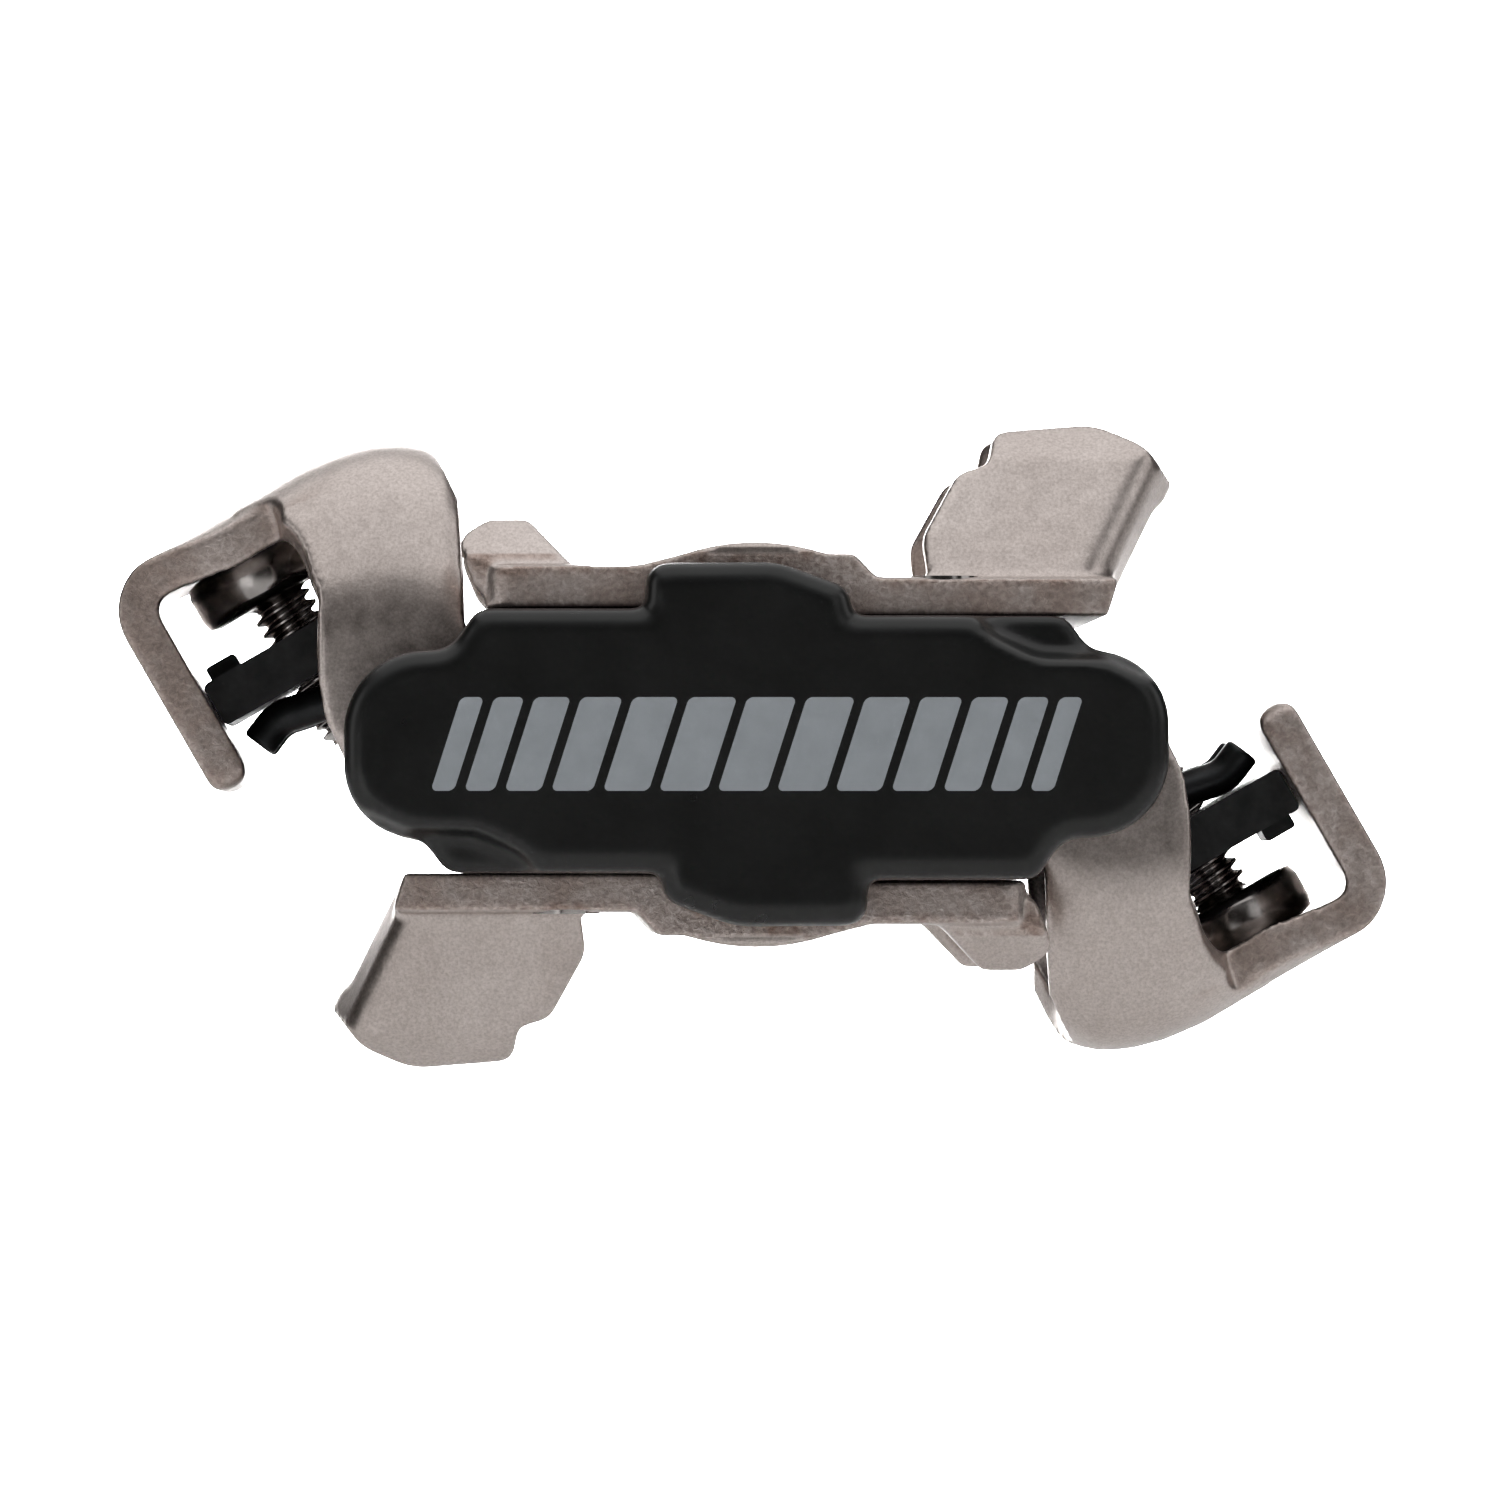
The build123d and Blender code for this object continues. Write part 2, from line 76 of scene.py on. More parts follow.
def gridFaces(rows, columns, closeRows=False, closeColumns=False, start=0):
    # quads of a rows x columns grid of points numbered row by row
    i = np.arange(rows if closeRows else rows - 1)[:, None]
    j = np.arange(columns if closeColumns else columns - 1)[None, :]
    i2, j2 = (i + 1) % rows, (j + 1) % columns
    corners = (i * columns + j, i * columns + j2, i2 * columns + j2, i2 * columns + j)
    quads = np.stack(np.broadcast_arrays(*corners), -1)
    return quads.reshape(-1, 4) + start


def closedTube(name, rings):
    # (n, m, 3) closed loops along a path, the first and last loop closed with fans to their middles
    n, m, _ = rings.shape
    places = np.concatenate([rings.reshape(-1, 3), rings[0].mean(0)[None], rings[-1].mean(0)[None]])
    j = np.arange(m)
    first = np.stack([np.full(m, n * m), (j + 1) % m, j], -1)
    last = np.stack([np.full(m, n * m + 1), (n - 1) * m + j, (n - 1) * m + (j + 1) % m], -1)
    quads = gridFaces(n, m, closeColumns=True)
    return outward(newMesh(name, places, quads.tolist() + first.tolist() + last.tolist()))


def thickSheet(name, upper, lower):
    # closed sheet between two (n, m, 3) grids, with walls joining their four rims
    n, m, _ = upper.shape
    index = np.arange(n * m).reshape(n, m)
    faces = [gridFaces(n, m), gridFaces(n, m, start=n * m)[:, ::-1]]
    for rim, flip in ((index[0], True), (index[-1], False), (index[:, 0], False), (index[:, -1], True)):
        wall = np.stack([rim[:-1], rim[1:], rim[1:] + n * m, rim[:-1] + n * m], -1)
        faces.append(wall[:, ::-1] if flip else wall)
    places = np.concatenate([upper.reshape(-1, 3), lower.reshape(-1, 3)])
    return outward(newMesh(name, places, np.concatenate(faces).tolist()))


def outward(piece):
    # turns every face of a closed shell outwards
    shell = bmesh.new()
    shell.from_mesh(piece.data)
    bmesh.ops.recalc_face_normals(shell, faces=shell.faces)
    shell.to_mesh(piece.data)
    shell.free()
    return piece


def joined(name, parts):
    with bpy.context.temp_override(active_object=parts[0], object=parts[0], selected_objects=parts,
                                   selected_editable_objects=parts):
        bpy.ops.object.join()
    parts[0].name = name
    return parts[0]


def points(piece):
    # the piece's own points, in millimetres
    flat = np.zeros(len(piece.data.vertices) * 3, np.float32)
    piece.data.vertices.foreach_get("co", flat)
    return flat.reshape(-1, 3) / mm


def movePoints(piece, places):
    piece.data.vertices.foreach_set("co", (np.asarray(places) * mm).astype(np.float32).ravel())
    piece.data.update()


def turnOver(piece):
    # half a turn about the spindle
    movePoints(piece, points(piece) * np.array([-1, 1, -1]))


def settled(piece):
    # applies the modifiers, so that the mesh is the piece's final one
    bpy.context.view_layer.update()
    finished = piece.evaluated_get(bpy.context.evaluated_depsgraph_get())
    mesh = bpy.data.meshes.new_from_object(finished)
    piece.modifiers.clear()
    piece.data = mesh
    mesh.polygons.foreach_set("use_smooth", np.ones(len(mesh.polygons), bool))
    return piece


def oneSkin(piece, cell, rounds, drill=None):
    # one skin of small cells over the whole piece, then its edges eased by repeated averaging
    remesh = piece.modifiers.new("skin", "REMESH")
    remesh.mode = "VOXEL"
    remesh.voxel_size = cell * mm
    remesh.use_smooth_shade = True
    if drill:
        settled(piece)
        cut = piece.modifiers.new("drill", "BOOLEAN")
        cut.operation, cut.solver, cut.object = "DIFFERENCE", "EXACT", drill
        settled(piece)
        bpy.data.objects.remove(drill)
    ease = piece.modifiers.new("ease", "SMOOTH")
    ease.factor, ease.iterations = 0.5, rounds
    return settled(piece)


def weldDoubles(piece):
    weld = piece.modifiers.new("weld", "WELD")
    weld.merge_threshold = weldGap


def softCopy(name, node, cell, rounds):
    # a merged copy of a CAD node's mesh with pressed or cast edges
    piece = addPiece(name, nodes[node].data.copy())
    weldDoubles(piece)
    settled(piece)
    oneSkin(piece, cell, rounds)
    piece.data.materials.clear()
    return piece


def smoothLine(corners, count, width):
    # straight runs between the corners sampled evenly, then averaged over a window of samples
    corners = np.array(corners, float)
    run = np.concatenate([[0], np.cumsum(np.linalg.norm(np.diff(corners, axis=0), axis=1))])
    along = np.linspace(0, run[-1], count)
    line = np.stack([np.interp(along, run, c) for c in corners.T], -1)
    padded = np.concatenate([2 * line[:1] - line[width:0:-1], line, 2 * line[-1:] - line[-2:-width - 2:-1]])
    window = np.ones(2 * width + 1) / (2 * width + 1)
    return np.stack([np.convolve(c, window, "valid") for c in padded.T], -1)


def easedCorners(profile, reach):
    # each inner corner of a profile becomes a short curve through its two cuts and a point between them:
    # half the corner plus a quarter of each cut
    profile = np.array(profile, float)
    before, after = profile[:-2] - profile[1:-1], profile[2:] - profile[1:-1]
    cuts = [profile[1:-1] + side * np.minimum(reach / np.linalg.norm(side, axis=1), 0.45)[:, None]
            for side in (before, after)]
    middle = (cuts[0] + cuts[1]) / 4 + profile[1:-1] / 2
    curve = np.stack([cuts[0], middle, cuts[1]], 1).reshape(-1, 2)
    return np.concatenate([profile[:1], curve, profile[-1:]])


def rise(values, low, high):
    # smooth step from 0 at low to 1 at high
    t = np.clip((values - low) / (high - low), 0, 1)
    return t * t * (3 - 2 * t)


class Paint:
    # a material and short ways to add nodes to it
    def __init__(self, name, **values):
        self.material = bpy.data.materials.new(name)
        self.material.use_nodes = True
        self.tree = self.material.node_tree
        self.shader = self.tree.nodes["Principled BSDF"]
        self.coords = self.tree.nodes.new("ShaderNodeTexCoord")
        for key, value in values.items():
            self.shader.inputs[key.replace("_", " ")].default_value = value

    def node(self, kind, **values):
        made = self.tree.nodes.new(kind)
        for key, value in values.items():
            if key in made.inputs.keys():
                made.inputs[key].default_value = value
            else:
                setattr(made, key, value)
        return made

    def link(self, a, b):
        self.tree.links.new(a, b)

    def noise(self, scale, detail=4.0, rough=0.55, stretch=None, bend=0.0):
        made = self.node("ShaderNodeTexNoise", Scale=scale, Detail=detail, Roughness=rough, Distortion=bend)
        source = self.coords.outputs["Object"]
        if stretch:
            mapping = self.node("ShaderNodeMapping")
            mapping.inputs["Scale"].default_value = stretch
            self.link(source, mapping.inputs["Vector"])
            source = mapping.outputs["Vector"]
        self.link(source, made.inputs["Vector"])
        return made.outputs["Fac"]

    def ramp(self, source, stops):
        made = self.node("ShaderNodeValToRGB")
        bands = made.color_ramp
        while len(bands.elements) < len(stops):
            bands.elements.new(0.5)
        for element, (position, colour) in zip(bands.elements, stops):
            element.position = position
            element.color = (*colour, 1)
        self.link(source, made.inputs["Fac"])
        return made.outputs["Color"]

    def spread(self, source, low, high, fromLow=0.3, fromHigh=0.7):
        made = self.node("ShaderNodeMapRange")
        limits = {"From Min": fromLow, "From Max": fromHigh, "To Min": low, "To Max": high}
        for key, value in limits.items():
            made.inputs[key].default_value = value
        self.link(source, made.inputs["Value"])
        return made.outputs["Result"]

    def mix(self, share, first, second, way="MIX"):
        made = self.node("ShaderNodeMixRGB", blend_type=way)
        for value, socket in ((share, "Fac"), (first, "Color1"), (second, "Color2")):
            if isinstance(value, (int, float)):
                made.inputs[socket].default_value = value
            else:
                self.link(value, made.inputs[socket])
        return made.outputs["Color"]

    def times(self, a, b):
        made = self.node("ShaderNodeMath", operation="MULTIPLY")
        self.link(a, made.inputs[0])
        self.link(b, made.inputs[1])
        return made.outputs["Value"]

    def bump(self, source, strength, distance):
        made = self.node("ShaderNodeBump", Strength=strength, Distance=distance)
        self.link(source, made.inputs["Height"])
        previous = self.shader.inputs["Normal"]
        if previous.links:
            self.link(previous.links[0].from_socket, made.inputs["Normal"])
        self.link(made.outputs["Normal"], previous)

    def colour(self, source):
        self.link(source, self.shader.inputs["Base Color"])

    def roughness(self, source):
        self.link(source, self.shader.inputs["Roughness"])


steel = {
    "cloudScale": 110, "cloud": [(0.3, (0.56, 0.495, 0.465)), (0.7, (0.66, 0.595, 0.565))],
    "speckleScale": 4200, "speckle": [(0.32, (0.74, 0.73, 0.72)), (0.68, (1.0, 1.0, 1.0))],
    "streakStretch": (2000, 900, 2400), "streakBend": 0.6,
    "streaks": [(0.30, (0.31, 0.25, 0.23)), (0.46, (0.47, 0.40, 0.37)), (0.58, (0.62, 0.55, 0.52)),
                (0.72, (0.78, 0.71, 0.68))],
    "patchScale": 190, "patches": [(0.42, (0.7, 0.62, 0.58)), (0.6, (1.0, 1.0, 1.0))],
    "faceGloss": (900, 2, 0.29, 0.40), "cutGloss": (800, 3, 0.30, 0.58),
    "peenScale": 4600, "peenDepth": 0.00003, "rippleScale": 600, "rippleDepth": 0.00008,
    "streakDepth": 0.00015,
}


def platedSteel(d):
    # peened satin plating; where the piece's "cut" attribute is 1, a sheared edge with streaks and
    # brown patches
    paint = Paint("platedSteel", Metallic=1.0)
    cut = paint.node("ShaderNodeAttribute", attribute_name="cut").outputs["Fac"]
    face = paint.ramp(paint.noise(d["cloudScale"], 3), d["cloud"])
    speckle = paint.ramp(paint.noise(d["speckleScale"], 2, 0.7), d["speckle"])
    face = paint.mix(1.0, face, speckle, "MULTIPLY")
    streaks = paint.noise(1.0, 5, 0.7, stretch=d["streakStretch"], bend=d["streakBend"])
    edge = paint.ramp(streaks, d["streaks"])
    patches = paint.ramp(paint.noise(d["patchScale"], 4, 0.65), d["patches"])
    edge = paint.mix(1.0, edge, patches, "MULTIPLY")
    paint.colour(paint.mix(cut, face, edge))
    gloss = [paint.spread(paint.noise(scale, detail), low, high)
             for scale, detail, low, high in (d["faceGloss"], d["cutGloss"])]
    paint.roughness(paint.mix(cut, *gloss))
    paint.bump(paint.noise(d["peenScale"], 2, 0.6), 0.3, d["peenDepth"])
    paint.bump(paint.noise(d["rippleScale"], 3, 0.5), 0.2, d["rippleDepth"])
    paint.bump(paint.times(streaks, cut), 0.6, d["streakDepth"])
    return paint.material


paintFilm = {
    "cloudScale": 300, "cloud": [(0.35, (0.0022, 0.0026, 0.0027)), (0.7, (0.0036, 0.0042, 0.0043))],
    "glossScale": 160, "gloss": (0.27, 0.35), "grainScale": 1100, "grainDepth": 0.00004,
}


def blackPaint(d):
    paint = Paint("blackPaint", Metallic=0.0, Specular_IOR_Level=0.5)
    paint.colour(paint.ramp(paint.noise(d["cloudScale"], 3), d["cloud"]))
    paint.roughness(paint.spread(paint.noise(d["glossScale"], 3), *d["gloss"]))
    paint.bump(paint.noise(d["grainScale"], 2), 0.1, d["grainDepth"])
    return paint.material


def plainFinish(name, colour, metallic, roughness, grain=900, depth=0.00003, vary=0.15, specular=0.5):
    # fine even grain, with colour and roughness wandering a little over the surface
    paint = Paint(name, Metallic=metallic, Specular_IOR_Level=specular)
    dark = tuple(c * (1 - vary) for c in colour)
    light = tuple(min(1, c * (1 + vary)) for c in colour)
    paint.colour(paint.ramp(paint.noise(grain * 0.3, 3), [(0.3, dark), (0.7, light)]))
    paint.roughness(paint.spread(paint.noise(grain * 0.5, 2), roughness - 0.06, roughness + 0.08))
    paint.bump(paint.noise(grain, 3), 0.3, depth)
    return paint.material


plated = platedSteel(steel)
black = blackPaint(paintFilm)
oxide = plainFinish("blackOxide", (0.34, 0.32, 0.31), 1.0, 0.17, 2200, 0.000006, 0.2)
nutOxide = plainFinish("darkOxide", (0.035, 0.036, 0.037), 0.8, 0.42, 1500, 0.00005, 0.3)
springSteel = plainFinish("springSteel", (0.03, 0.031, 0.033), 0.8, 0.36, 1800, 0.00002)
ground = plainFinish("groundSteel", (0.56, 0.55, 0.54), 1.0, 0.28, 1500)
polished = plainFinish("polishedSteel", (0.75, 0.75, 0.76), 1.0, 0.08, 800, 0.00001, 0.03)
turned = plainFinish("turnedAluminium", (0.72, 0.72, 0.73), 1.0, 0.3, 1200)
resin = plainFinish("mouldedResin", (0.012, 0.012, 0.013), 0.0, 0.5, 1100)
rubber = plainFinish("sealRubber", (0.008, 0.008, 0.008), 0.0, 0.65, 1300)
ink = plainFinish("printInk", (0.36, 0.39, 0.42), 0.0, 0.5, 1400, 0.00001, 0.05, 0.3)
print("materials made")

finishOf = {
    "spindle": ground, "outboard_cone": ground, "cone_locknut": ground, "inboard_balls": polished,
    "outboard_balls": polished, "pedal_body": black, "lock_sleeve": resin, "bearing_tube": turned,
    "spindle_seal": rubber, "cleat_plate": plated, "plate_screws": oxide, "binding_pin": ground,
    "rear_claw": plated, "outboard_spring": springSteel, "inboard_spring": springSteel,
    "tension_bolt": oxide, "tension_nut": nutOxide,
}
usualEdge = 0.15
edgeWidth = {"tension_nut": 0.3, "lock_sleeve": 0.3, "cone_locknut": 0.3}
edgeAngle = math.radians(38)
for name, piece in nodes.items():
    plainName = name.replace("top_", "").replace("bottom_", "")
    piece.data.materials.clear()
    piece.data.materials.append(finishOf[plainName])
    weldDoubles(piece)
    bevel = piece.modifiers.new("bevel", "BEVEL")
    bevel.width = edgeWidth.get(plainName, usualEdge) * mm
    bevel.segments = 3
    bevel.limit_method = "ANGLE"
    bevel.angle_limit = edgeAngle
    bevel.harden_normals = False
    weighted = piece.modifiers.new("normals", "WEIGHTED_NORMAL")
    weighted.keep_sharp = False
print("frame dressed")


def finishPiece(piece, material, slot, body, *replaced):
    # its material, the nodes that it stands for and the body that it moves with; slot is not used
    piece.data.materials.clear()
    piece.data.materials.append(material)
    if replaced:
        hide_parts(*replaced)
    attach(piece, body)


def markCut(piece, mask):
    # mask takes points and normals and gives 1 on the sheared edges
    mesh = piece.data
    normals = np.zeros(len(mesh.vertices) * 3, np.float32)
    mesh.vertices.foreach_get("normal", normals)
    attribute = mesh.attributes.new("cut", "FLOAT", "POINT")
    attribute.data.foreach_set("value", mask(points(piece), normals.reshape(-1, 3)).astype(np.float32))


casting = {"cell": 0.42, "rounds": 6}
pedalBody = softCopy("castBody", "pedal_body", casting["cell"], casting["rounds"])
finishPiece(pedalBody, black, "body_paint", "pedal", "pedal_body")
print("body made")

printBars = {"count": 13, "halfLength": 24.0, "halfHeight": 3.45, "gap": 0.75, "slant": 0.32, "wide": 1.55,
             "corner": 0.45, "face": -84.02, "back": -83.9, "sides": 32}


def makePrint(d):
    # slanted bars, widest in the middle: width = 1 + 2 (wide - 1) cos(quarter turn * place), with place
    # from -1 to 1, then scaled so that bars and gaps fill the length; each is a rounded box whose outline
    # is a rectangle shrunk by the corner radius plus a circle of that radius
    place = np.linspace(-1, 1, d["count"])
    width = 1 + (d["wide"] - 1) * np.cos(place * math.pi / 2) * 2
    slope = 2 * d["slant"] * d["halfHeight"]
    width *= (2 * d["halfLength"] - slope - d["gap"] * (d["count"] - 1)) / width.sum()
    start = -d["halfLength"] + slope / 2 + np.concatenate([[0], np.cumsum(width + d["gap"])[:-1]])
    turn = np.linspace(0, fullTurn, d["sides"], endpoint=False) + math.pi / d["sides"]
    bars = []
    for left, wide in zip(start, width):
        x = left + wide / 2 + np.sign(np.cos(turn)) * (wide / 2 - d["corner"]) + d["corner"] * np.cos(turn)
        z = np.sign(np.sin(turn)) * (d["halfHeight"] - d["corner"]) + d["corner"] * np.sin(turn)
        x = x + d["slant"] * z
        rings = np.stack([np.stack([x, np.full(d["sides"], y), z], -1) for y in (d["back"], d["face"])])
        bars.append(closedTube("bar", rings))
    piece = joined("outboardPrint", bars)
    piece.data.polygons.foreach_set("use_smooth", np.zeros(len(piece.data.polygons), bool))
    finishPiece(piece, ink, "body_paint", "pedal")


makePrint(printBars)
print("print made")

plate = {"cell": 0.32, "rounds": 5, "sideways": (0.6, 0.85), "top": 14.2, "half": 24,
         "frontBand": 11.5, "rearBand": 12.3, "bandEdge": 0.35, "peened": 0.7}


def plateCut(places, normals):
    # the plate's two long edges; the rolled upper band counts fully, the peened band under it less
    height = np.abs(places[:, 2])
    bandStart = np.where(places[:, 0] * places[:, 2] > 0, plate["frontBand"], plate["rearBand"])
    band = rise(height - bandStart, 0.0, plate["bandEdge"])
    edge = rise(np.abs(normals[:, 1]), *plate["sideways"]) * (height < plate["top"])
    edge = edge * (np.abs(places[:, 1] - centreY) > plate["half"])
    return edge * (plate["peened"] + (1 - plate["peened"]) * band)


for side in ("top", "bottom"):
    cleatPlate = softCopy(f"{side}CleatPlate", f"{side}_cleat_plate", plate["cell"], plate["rounds"])
    markCut(cleatPlate, plateCut)
    finishPiece(cleatPlate, plated, "plated_steel", "pedal", f"{side}_cleat_plate")
print("cleat plates made")

rearClaw = {
    "low": -5.6, "top": 22.9, "sheet": 3.0, "cell": 0.32, "rounds": 6,
    # half of the cross section, as (half width, height)
    "section": [(19.5, -5.6), (20.1, 3.0), (20.25, 11.0), (19.5, 13.2), (17.1, 18.9), (15.9, 20.8),
                (13.8, 22.15), (11.0, 22.8), (7.0, 22.9), (0.0, 22.9)],
    # roof line, as (x, height), and the panels' fore and aft limits, as (height, x)
    "roof": [(-48, 12.58), (-40, 17.2), (-37.4, 18.72), (-34, 20.75), (-31, 22.05), (-28.5, 22.7),
             (-26.3, 22.85), (-24.5, 22.5), (-23.0, 21.6), (-22.0, 20.3)],
    "front": [(-5.6, -24.5), (-4.6, -21.2), (-3, -19.4), (0.7, -18.4), (3.5, -19.0), (8.0, -20.7),
              (11.2, -21.65), (16.8, -21.8), (21.2, -22.0), (23, -22.1)],
    "rear": [(-5.6, -24.5), (-4.6, -27.8), (-3, -29.6), (0.0, -30.9), (2.3, -31.9), (5.5, -32.4), (8, -32.5),
             (12.3, -32.4), (14, -33.0), (16, -33.5), (18, -34.4), (19.2, -35.2), (23, -35.4)],
    "around": 90, "easing": 5, "along": 46, "crown": 18.2,
    "mouthHalf": 15.2, "mouthDeep": 2.3, "rearRoof": -35.4, "bailReach": 3.4, "shoulder": 17.2,
}
bail = {
    "half": 13.0, "flare": 0.8, "flareFrom": (-34, -24), "start": -21.5, "legOut": -36.7, "plateOut": -34.9,
    "sunk": 0.05, "thick": 3.1, "corner": 4.6, "legTip": -16.75, "tipRound": 1.3, "tipPinch": 0.9,
    "tipNarrow": 1.4, "droopFrom": (-34, -26),
    "plateSteps": 40, "legSteps": 60, "turnSteps": 16, "across": 41,
}
tailWall = {"half": 17.2, "low": 12.9, "top": 20.6, "back": -24.6, "thick": 2.5, "bow": 2.4, "narrows": 0.38,
            "across": 60, "up": 16}
keyHole = {"s": -25.3, "radius": 2.6, "sides": 56, "above": 3, "below": 2}
clawEdge = {"sideways": (0.55, 0.85), "inner": 11.0, "outer": 16.2, "from": (31.8, 34.6), "share": 0.7}


def clawShell(d):
    # the half section is swept fore and aft between its front and rear limits, and its height scales with
    # the roof line: z = low + (section - low) (roof(x) - low) / (top - low)
    half = smoothLine(d["section"], d["around"], d["easing"])
    slope = np.gradient(half, axis=0)
    inward = np.stack([-slope[:, 1], slope[:, 0]], -1) / np.linalg.norm(slope, axis=1)[:, None]
    grids = []
    for depth in (0.0, d["sheet"]):
        line = half + inward * depth
        line[-1, 0] = 0.0
        v = np.concatenate([-line[:, 0], line[-2::-1, 0]])
        z = np.concatenate([line[:, 1], line[-2::-1, 1]])
        outer = np.concatenate([half[:, 1], half[-2::-1, 1]])
        across = np.abs(np.concatenate([half[:, 0], half[-2::-1, 0]]))
        roofward = rise(outer, d["crown"], d["top"])
        bow = np.sqrt(np.clip(1 - (across / d["mouthHalf"]) ** 2, 0, 1))
        mouth = d["front"][-1][1] - d["mouthDeep"] * bow
        near = np.clip((d["shoulder"] - across) / (d["shoulder"] - bail["half"]), 0, 1)
        tail = d["rearRoof"] - d["bailReach"] * (1 - np.sqrt(1 - near ** 2))
        front, rear = (np.interp(outer, *np.array(d[key]).T) for key in ("front", "rear"))
        front = front + (mouth - front) * roofward
        rear = rear + (tail - rear) * roofward
        share = np.linspace(0, 1, d["along"])[None, :]
        x = front[:, None] + share * (rear - front)[:, None]
        roof = np.interp(x, *np.array(d["roof"]).T)
        height = d["low"] + (z[:, None] - d["low"]) * (roof - d["low"]) / (d["top"] - d["low"])
        grids.append(np.stack([x, np.broadcast_to(centreY + v[:, None], x.shape), height], -1))
    return thickSheet("shell", *grids)


def clawBail(d, claw):
    # strip along the plate, round the corner and down the leg; both faces draw together at the leg's tip
    section = smoothLine(claw["section"], claw["around"], claw["easing"])
    turn = np.linspace(0, math.pi / 2, d["turnSteps"])[1:]
    v = np.linspace(-1, 1, d["across"])[None, :]
    s0, t0 = d["legOut"] + d["corner"], d["plateOut"] + d["corner"]
    grids = []
    for depth, inwards in ((d["sunk"], 1), (d["thick"], -1)):
        radius = d["corner"] - depth
        s = np.concatenate([np.linspace(d["start"], s0, d["plateSteps"]), s0 - radius * np.sin(turn),
                            np.full(d["legSteps"], d["legOut"] + depth)])
        t = np.concatenate([np.full(d["plateSteps"], d["plateOut"] + depth), t0 - radius * np.cos(turn),
                            np.linspace(t0, d["legTip"], d["legSteps"] + 1)[1:]])
        end = np.clip(1 - (d["legTip"] - t) / d["tipRound"], 0, 1) * (s < s0)
        rounding = 1 - np.sqrt(1 - end ** 2)
        s = s + inwards * d["tipRound"] * rounding * d["tipPinch"]
        half = d["half"] + d["flare"] * rise(s, *d["flareFrom"]) - d["tipNarrow"] * rounding
        across = half[:, None] * v
        drop = claw["top"] - np.interp(np.abs(across), section[::-1, 0], section[::-1, 1])
        x, z = tilted(s[:, None], t[:, None] + drop * rise(s, *d["droopFrom"])[:, None])
        grids.append(np.stack([x, centreY + across, z], -1))
    return thickSheet("bail", *grids)


def clawWall(d):
    # wall behind the cleat's tail: x = back - bow (1 - (v / half)^2), narrowing upwards with the panels
    steps = (np.linspace(-1, 1, d["across"]), np.linspace(d["low"], d["top"], d["up"]))
    share, z = np.meshgrid(*steps, indexing="ij")
    y = centreY + share * (d["half"] - d["narrows"] * (z - d["low"]))
    arc = d["back"] - d["bow"] * (1 - share ** 2)
    return thickSheet("wall", *(np.stack([arc - shift, y, z], -1) for shift in (0.0, d["thick"])))


def keyDrill(d):
    # round bar on the bolt's axis through the bail plate
    turn = np.linspace(0, fullTurn, d["sides"], endpoint=False)
    rings = []
    for t in (bail["plateOut"] - d["above"], bail["plateOut"] + bail["thick"] + d["below"]):
        x, z = tilted(d["s"] + d["radius"] * np.cos(turn), np.full(d["sides"], t))
        rings.append(np.stack([x, centreY + d["radius"] * np.sin(turn), z], -1))
    return closedTube("drill", np.stack(rings))


def clawCut(places, normals):
    # the bail's two side edges
    v = np.abs(places[:, 1] - centreY)
    onBail = (v < clawEdge["outer"]) * (v > clawEdge["inner"]) * rise(np.abs(places[:, 0]), *clawEdge["from"])
    return clawEdge["share"] * onBail * rise(np.abs(normals[:, 1]), *clawEdge["sideways"])


for side in ("top", "bottom"):
    claw = joined(f"{side}RearClaw", [clawShell(rearClaw), clawBail(bail, rearClaw), clawWall(tailWall)])
    oneSkin(claw, rearClaw["cell"], rearClaw["rounds"], keyDrill(keyHole))
    if side == "bottom":
        turnOver(claw)
    markCut(claw, clawCut)
    finishPiece(claw, plated, "plated_steel", f"{side}_rear_claw", f"{side}_rear_claw")
print("rear claws made")

boltAxis = np.array([0.5, 0.0, -math.cos(lean)])
bolt = {"s": -25.3, "headTop": -31.72, "headUnder": -27.8, "tip": -15.85, "headRadius": 5.85, "crest": 2.44,
        "root": 1.83, "pitch": 1.0, "socket": 1.75, "socketDeep": 2.4, "socketFit": 1.06, "edge": 1.0,
        "headSides": 96, "shaftSides": 72, "perTurn": 22, "overlap": 0.4}
onAxis = 0.02                   # radius at which a turned profile is closed with a fan


def ringsAround(start, axis, along, radius):
    # rings of radius(along, turn) about an axis
    axis = np.array(axis, float)
    across = np.array([0.0, 1.0, 0.0]) if abs(axis[1]) < 0.5 else np.array([1.0, 0.0, 0.0])
    turn = np.linspace(0, fullTurn, radius.shape[1], endpoint=False)
    ring = np.cos(turn)[:, None] * across + np.sin(turn)[:, None] * np.cross(axis, across)
    return np.array(start) + along[:, None, None] * axis + radius[..., None] * ring[None]


def threadRadius(along, segments, length, pitch, root, crest):
    # r = root + (crest - root) clip(1.75 |2 frac(z / pitch - a / 2 pi) - 1| - 0.36), faded out at both ends
    turn = np.linspace(0, 1, segments, endpoint=False)
    phase = along[:, None] / pitch - turn[None, :]
    tooth = np.clip(1.75 * np.abs(2 * (phase - np.floor(phase)) - 1) - 0.36, 0, 1)
    fade = np.clip(np.minimum((along + 0.3) / (pitch * 0.5), (length - along) / pitch), 0, 1)[:, None]
    return root + (crest - root) * tooth * fade


